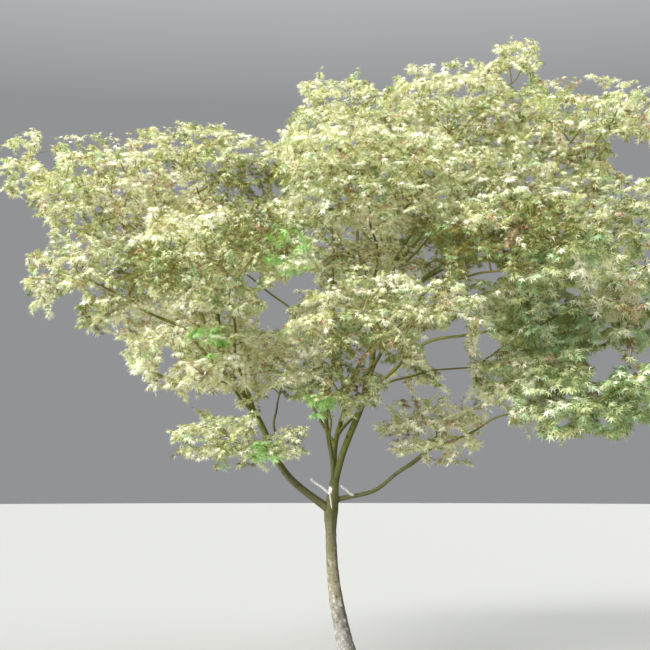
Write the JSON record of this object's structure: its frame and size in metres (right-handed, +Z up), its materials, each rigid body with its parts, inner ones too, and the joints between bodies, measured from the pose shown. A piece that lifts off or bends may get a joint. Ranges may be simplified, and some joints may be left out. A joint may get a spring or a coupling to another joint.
{
  "type": "japanese maple tree",
  "caption": "Variegated Japanese maple tree: leaning trunk, forked leaders, side boughs and layered masses of cream and pale green lobed leaves, cut flat at the ground.",
  "frame": {"origin": "centre of the flat cut under the trunk, at ground level", "axes": "+Z up; +X to the right and +Y away from a viewer who faces the tree as in the picture, so -Y is its front"},
  "size_m": [5.3789, 3.8716, 5.0911],
  "materials": {
    "bark": "rough olive-grey bark with a thin green film of moss and algae",
    "bleached_wood": "bare weathered wood, matte, bleached grey-white",
    "foliage": "thin satin leaves, cream, pale yellow-green and green"
  },
  "bodies": {
    "root": {"bough_back_high_left": "bark", "bough_back_high_right": "bark", "bough_back_low_left": "bark", "bough_back_low_right": "bark", "bough_centre_low": "bark", "bough_crown_centre": "bark", "bough_front_high": "bark", "bough_front_left": "bark", "bough_front_right": "bark", "bough_front_tier": "bark", "bough_left_low_in": "bark", "bough_left_low_out": "bark", "bough_left_mid_out": "bark", "bough_left_skirt": "bark", "bough_left_tip": "bark", "bough_left_upper_in": "bark", "bough_left_upper_out": "bark", "bough_right_low_out": "bark", "bough_right_mid_low": "bark", "bough_right_mid_out": "bark", "bough_right_upper_mid": "bark", "bough_right_upper_out": "bark", "bough_top_spray": "bark", "dead_stub_left": "bleached_wood", "dead_stub_right": "bleached_wood", "foliage_back_high_left": "foliage", "foliage_back_high_right": "foliage", "foliage_back_low_left": "foliage", "foliage_back_low_right": "foliage", "foliage_back_mid": "foliage", "foliage_centre_low": "foliage", "foliage_centre_mid": "foliage", "foliage_crown_centre": "foliage", "foliage_front_high": "foliage", "foliage_front_left": "foliage", "foliage_front_right": "foliage", "foliage_front_tier": "foliage", "foliage_left_low_in": "foliage", "foliage_left_low_out": "foliage", "foliage_left_mid_in": "foliage", "foliage_left_mid_out": "foliage", "foliage_left_skirt": "foliage", "foliage_left_tip": "foliage", "foliage_left_upper_in": "foliage", "foliage_left_upper_out": "foliage", "foliage_right_low_in": "foliage", "foliage_right_low_out": "foliage", "foliage_right_mid_low": "foliage", "foliage_right_mid_out": "foliage", "foliage_right_top": "foliage", "foliage_right_upper_mid": "foliage", "foliage_right_upper_out": "foliage", "foliage_top_spray": "foliage", "leader_back": "bark", "leader_left": "bark", "leader_main": "bark", "leader_mid": "bark", "leader_right": "bark", "trunk": "bark"}
  },
  "joints": []
}
